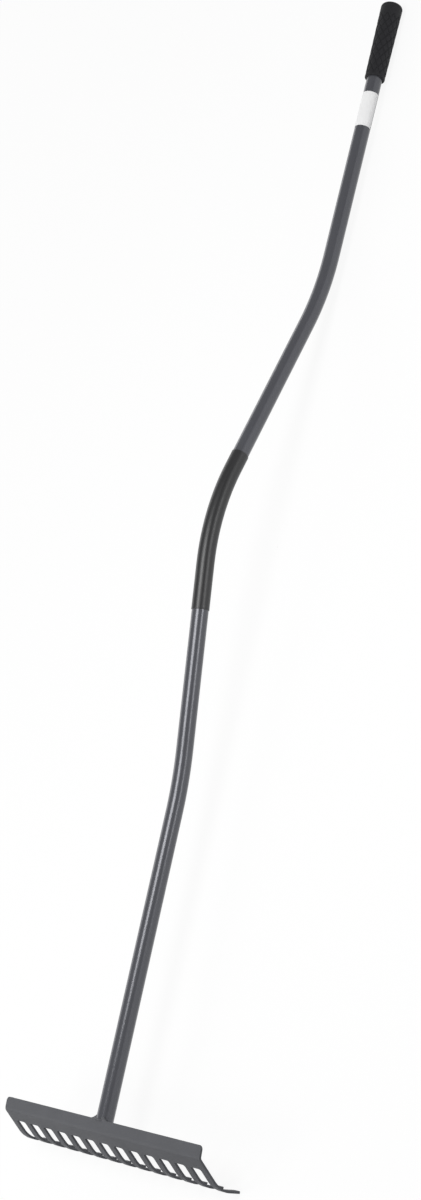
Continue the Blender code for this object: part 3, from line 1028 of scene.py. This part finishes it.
@dataclass
class PaperBand:
    """The bare paper band round the handle, whose two ends stop short of each other."""

    start: float = 1.4571
    length: float = 0.0559
    bore: float = 0.01154
    thickness: float = 0.00018
    first_edge: float = math.radians(-24.0)
    wrap: float = math.radians(314.0)
    lift: float = 0.00022
    lift_reach: float = math.radians(9.0)
    under_lift: float = 0.6
    rows: int = 24
    columns: int = 120
    paper: Finish = CoatedPaper("coated_paper", "#FBFBFB", "#F6F6F7", (0.42, 0.52))

    def build(self) -> Object:
        """Wrap a thin sheet round the tube.

        Over the last few degrees to either edge, it lifts a little from the
        tube as a smooth step.

        Returns:
            The dressed band.
        """
        s = np.linspace(self.start, self.start + self.length, self.rows)
        angle = self.first_edge + np.linspace(0.0, self.wrap, self.columns)
        from_edge = np.minimum(angle - angle[0], angle[-1] - angle)
        lift = self.lift * (1.0 - smooth_step(from_edge[None, :] / self.lift_reach))
        near, near_unbent = swept(s, angle, self.bore + self.thickness + lift)
        far, far_unbent = swept(s, angle, self.bore + self.under_lift * lift)
        index = np.arange(len(near)).reshape(self.rows, self.columns)
        points, shell = thin_shell(near, far, quads_of(index))
        unbent = np.concatenate([near_unbent, far_unbent])
        node = CadNode.BAND
        return make_piece("paper_wrap", points, [shell], self.paper, node, sharp=40.0, unbent=unbent)


@dataclass
class EndGrip:
    """The moulded end grip: a square mouth, a field of diamonds, and a smooth cap with a groove."""

    start: float = 1.5395
    length: float = 0.1240
    bore: float = 0.0117
    bore_depth: float = 0.1150
    rim_round: float = 0.0009
    mouth_radius: float = 0.0149
    end_radius: float = 0.0162
    groove_from_end: float = 0.0079
    groove_width: float = 0.0018
    groove_depth: float = 0.0006
    dome_round: float = 0.0050
    dome_rise: float = 0.0006
    cap_length: float = 0.0180
    diamond_start: float = 1.5364
    diamond_length: float = 0.0164
    diamonds_round: int = 10
    diamond_turn: float = math.radians(-1.8)
    diamond_height: float = 0.0008
    diamond_share: float = 0.38
    bare_mouth: float = 0.0025
    fade_lengths: Pair = (0.002, 0.003)
    columns: int = 200
    rim_rows: int = 7
    body_rows: int = 280
    dome_rows: int = 15
    crown_rows: int = 6
    # The rubber's colour runs from painted shade in the grooves to a painted highlight on the
    # diamonds' tops.
    rubber: Finish = MouldedRubber("moulded_rubber", "#1B1B1E", "#252528", (0.82, 0.62), 0.25)

    def outline(self) -> tuple[Array, Array]:
        """Work out the smooth outer radius by distance along the handle.

        The mouth's edge is a quarter round, the body tapers evenly outwards,
        the groove is one cosine wave, and the end is a quarter round to a
        slightly crowned face.

        Returns:
            Distances from the mouth to the tip, and the radius at each.
        """
        end = self.start + self.length
        shoulder, body = end - self.dome_rise - self.dome_round, self.start + self.rim_round
        turn = np.linspace(0.0, math.pi / 2.0, self.rim_rows + 1)[:-1]
        rim_s = body - self.rim_round * np.cos(turn)
        rim_r = self.mouth_radius - self.rim_round * (1.0 - np.sin(turn))
        s = np.linspace(body, shoulder, self.body_rows)
        taper = (self.end_radius - self.mouth_radius) * (s - body) / (shoulder - body)
        r = self.mouth_radius + taper
        from_groove = np.abs(s - (end - self.groove_from_end)) / (self.groove_width / 2.0)
        r = r - self.groove_depth * (1.0 + np.cos(math.pi * np.minimum(from_groove, 1.0))) / 2.0
        turn = np.linspace(0.0, math.pi / 2.0, self.dome_rows + 1)[1:]
        flat = self.end_radius - self.dome_round
        dome_s = shoulder + self.dome_round * np.sin(turn)
        dome_r = flat + self.dome_round * np.cos(turn)
        crown_r = flat * np.linspace(1.0, 0.0, self.crown_rows + 2)[1:-1]
        crown_s = end - self.dome_rise * (crown_r / flat) ** 2
        distance = np.concatenate([rim_s, s, dome_s, crown_s])
        return distance, np.concatenate([rim_r, r, dome_r, crown_r])

    def diamonds(self, s: Array, angle: Array) -> Array:
        """Work out the height of the moulded diamonds.

        With u turns of the pattern round and v lengths along, tri(x) is 0 on
        whole numbers and 1 half way between. Grooves follow tri(u + v) = 0 and
        tri(u - v) = 0, and a pad rises smoothly from the nearer groove.

        Args:
            s: distances along the handle.
            angle: angles round it.

        Returns:
            Heights from 0 in a groove to 1 on a pad, as (rows, columns).
        """
        u = (angle[None, :] + self.diamond_turn) * self.diamonds_round / math.tau
        v = (s[:, None] - self.diamond_start) / self.diamond_length
        near = np.minimum(*(1.0 - np.abs(2.0 * np.mod(t, 1.0) - 1.0) for t in (u + v, u - v)))
        return smooth_step(near / self.diamond_share)

    def build(self) -> Object:
        """Turn the outline round the handle's line, raise the diamonds and cut the bore.

        The diamonds fade in past the bare mouth and out before the cap, as
        smooth steps over the fade lengths.

        Returns:
            The dressed grip.
        """
        angle = round_angles(self.columns)
        s, r = self.outline()
        first, last = self.start + self.bare_mouth, self.start + self.length - self.cap_length
        rise, fall = self.fade_lengths
        fade = (smooth_step((s - first) / rise) * smooth_step((last - s) / fall))[:, None]
        relief = self.diamonds(s, angle) * fade + (1.0 - fade)
        radius = r[:, None] - self.diamond_height * (1.0 - relief)
        tip, bore_end = self.start + self.length, self.start + self.bore_depth
        outer = swept(s, angle, radius)
        inner = swept(np.array([self.start, bore_end]), angle, self.bore)
        poles = swept(np.array([tip, bore_end]), np.zeros(1), 0.0)
        points, unbent = (np.concatenate(parts) for parts in zip(outer, inner, poles))
        rows = len(s)
        index = ring_numbers(rows + 2, self.columns)
        mouth = np.stack([index[rows + 1], index[rows], index[0]])
        quads = np.concatenate([quads_of(index[:rows]), quads_of(mouth)])
        dome, floor = index[rows - 1], index[rows + 1]
        crown, bottom = (np.full(self.columns, len(points) - k) for k in (2, 1))
        fans = [[dome[:-1], dome[1:], crown], [floor[1:], floor[:-1], bottom]]
        fans = np.concatenate([np.stack(fan, axis=-1) for fan in fans])[:, ::-1]
        # These diamond heights also paint the colour: paler pads as a painted highlight, darker
        # grooves as painted shade.
        heights = np.concatenate([relief.ravel(), np.ones(len(points) - relief.size)])
        return make_piece(
            "end_grip_moulding",
            points,
            [quads, fans],
            self.rubber,
            CadNode.GRIP,
            sharp=50.0,
            unbent=unbent,
            relief=heights,
        )


def set_up(name: str, data: bpy.types.ID, place: Triple, axes: list[Array]) -> Object:
    """Put a lamp or the camera into the scene.

    Args:
        name: its name.
        data: the light or camera data.
        place: where it stands.
        axes: the directions of its own X, Y and Z.

    Returns:
        The placed object.
    """
    thing = bpy.data.objects.new(name, data)
    bpy.context.scene.collection.objects.link(thing)
    turn = Matrix([list(row) for row in np.stack(axes, axis=-1)])
    thing.matrix_world = Matrix.Translation(place) @ turn.to_4x4()
    return thing


@dataclass(frozen=True)
class SoftBox:
    """One soft oval studio lamp.

    Attributes:
        name: the lamp's name.
        place: its centre in metres.
        target: the point it faces.
        size: its width, and its length along the rake.
        watts: its power.
    """

    name: str
    place: Triple
    target: Triple
    size: Pair
    watts: float

    def build(self) -> None:
        """Hang the lamp, its length along the rake."""
        data = bpy.data.lights.new(self.name, "AREA")
        data.shape = "ELLIPSE"
        data.size, data.size_y = self.size
        data.energy = self.watts
        away = unit(np.array(self.place) - np.array(self.target))
        along = unit(np.array([0.0, 1.0, 0.0]) - away * away[1])
        lamp = set_up(self.name, data, self.place, [np.cross(along, away), along, away])
        lamp.visible_camera = False


@dataclass
class Studio:
    """The pale floor and backdrop, the soft boxes, the sky and the camera."""

    white: str = "#FFFFFF"
    floor_colour: str = "#F8F8F8"
    floor_bounce: str = "#D0D0D0"
    floor_radius: float = 11.0
    floor_hub: float = 0.001
    floor_sides: int = 96
    backdrop_height: float = 6.0
    backdrop_rows: int = 16
    floor_glow: float = 0.90
    sky_strength: float = 0.44
    camera_place: Triple = (2.08435, -0.76333, 1.71020)
    camera_right: Triple = (0.64016, 0.22210, -0.73544)
    camera_up: Triple = (0.04477, 0.94489, 0.32432)
    focal_pixels: float = 2021.72
    sensor_mm: float = 36.0
    view_range: Pair = (0.05, 100.0)
    lamps: tuple[SoftBox, ...] = (
        SoftBox("upper_box", (0.40, -0.085, 1.85), (0.0, -0.085, 0.08), (0.95, 1.12), 18.5),
        SoftBox("low_box", (1.85, 0.25, 0.28), (0.0, 0.25, 0.08), (0.54, 1.00), 6.2),
        SoftBox("far_box", (-0.90, -1.50, 0.95), (0.0, -0.80, 0.08), (0.70, 0.70), 7.0),
        SoftBox("rim_box", (-1.80, 0.60, 0.75), (0.0, 0.60, 0.08), (0.80, 3.60), 7.5),
    )

    def seen(self, tree: Tree) -> tuple[Socket, Socket]:
        """Tell the rays that show the background from those that only light the rake.

        Args:
            tree: nodes of the floor.

        Returns:
            1 for camera, glossy and transmission rays, and 1 for diffuse rays.
        """
        rays = add_node(tree, "LightPath").outputs
        seen = rays["Is Camera Ray"]
        for other in ("Is Glossy Ray", "Is Transmission Ray"):
            either = {0: seen, 1: rays[other]}
            seen = add_node(tree, "Math", {"operation": "MAXIMUM"}, either).outputs[0]
        return seen, rays["Is Diffuse Ray"]

    def build_floor(self) -> None:
        """Make the floor and the backdrop that curves up from it all round.

        Both look pale to the camera and in reflections, and still take
        shadows. The profile runs out level to radius R and goes on as a quarter
        circle of height H, (R + H sin q, H (1 - cos q)), and is turned round
        the upright axis.
        """
        turn = np.linspace(0.0, math.pi / 2.0, self.backdrop_rows)
        out = self.floor_radius + self.backdrop_height * np.sin(turn)
        out = np.concatenate([[self.floor_hub], out])[:, None]
        up = np.concatenate([[0.0], self.backdrop_height * (1.0 - np.cos(turn))])[:, None]
        angle = round_angles(self.floor_sides)[None, :]
        points = np.stack(np.broadcast_arrays(out * np.cos(angle), out * np.sin(angle), up), axis=-1)
        index = ring_numbers(len(out), self.floor_sides)
        mesh = bpy.data.meshes.new("floor")
        faces = quads_of(index).tolist() + [index[0, :-1].tolist()]
        mesh.from_pydata(points.reshape(-1, 3).tolist(), [], faces)
        mesh.shade_smooth()
        material = bpy.data.materials.new("painted_floor")
        material.use_nodes = True
        tree = material.node_tree
        tree.nodes.clear()
        seen, bounced = self.seen(tree)
        share = add_node(tree, "Math", {"operation": "MULTIPLY", 1: self.floor_glow}, {0: seen})
        colours = {
            COLOUR_A: linear(self.floor_colour),
            COLOUR_B: linear(self.floor_bounce),
            "data_type": "RGBA",
        }
        colour = add_node(tree, "Mix", colours, {0: bounced})
        paint = add_node(tree, "BsdfDiffuse", links={"Color": colour.outputs[COLOUR_OUT]})
        glow = add_node(tree, "Emission", {"Color": linear(self.white), "Strength": 1.0})
        parts = {0: share.outputs[0], 1: paint.outputs["BSDF"], 2: glow.outputs["Emission"]}
        mixed = add_node(tree, "MixShader", links=parts)
        add_node(tree, "OutputMaterial", links={"Surface": mixed.outputs[0]})
        mesh.materials.append(material)
        floor = bpy.data.objects.new("floor", mesh)
        bpy.context.scene.collection.objects.link(floor)

    def build_sky(self) -> None:
        """Light the scene evenly from above the backdrop."""
        world = bpy.data.worlds.new("studio")
        world.use_nodes = True
        tree = world.node_tree
        tree.nodes.clear()
        sky = {"Color": linear(self.white), "Strength": self.sky_strength}
        light = add_node(tree, "Background", sky)
        add_node(tree, "OutputWorld", links={"Surface": light.outputs["Background"]})
        bpy.context.scene.world = world

    def build_camera(self) -> None:
        """Set the camera at the photograph's viewing angle, with the handle running up the picture."""
        data = bpy.data.cameras.new("camera")
        data.sensor_fit = "AUTO"
        data.sensor_width = self.sensor_mm
        data.lens = self.focal_pixels * data.sensor_width / max(PHOTO_SIZE)
        data.clip_start, data.clip_end = self.view_range
        right, up = np.array(self.camera_right), np.array(self.camera_up)
        axes = [right, up, np.cross(right, up)]
        bpy.context.scene.camera = set_up("camera", data, self.camera_place, axes)

    def build(self) -> None:
        """Set up everything that isn't the rake."""
        self.build_camera()
        self.build_sky()
        self.build_floor()
        for lamp in self.lamps:
            lamp.build()
        bpy.context.scene.view_settings.view_transform = "Standard"


def main() -> None:
    """Build the rake's pieces in order, then the studio."""
    logging.basicConfig(level=logging.INFO, format="%(name)s: %(message)s")
    head = PressedHead()
    handle = Handle(head)
    pieces = [
        head.build(),
        handle.build_tube(),
        handle.build_weld(),
        WaistSleeve().build(),
        PaperBand().build(),
        EndGrip().build(),
    ]
    Studio().build()
    log.info("%d pieces: %s", len(pieces), ", ".join(piece.name for piece in pieces))


if __name__ == "__main__":
    main()
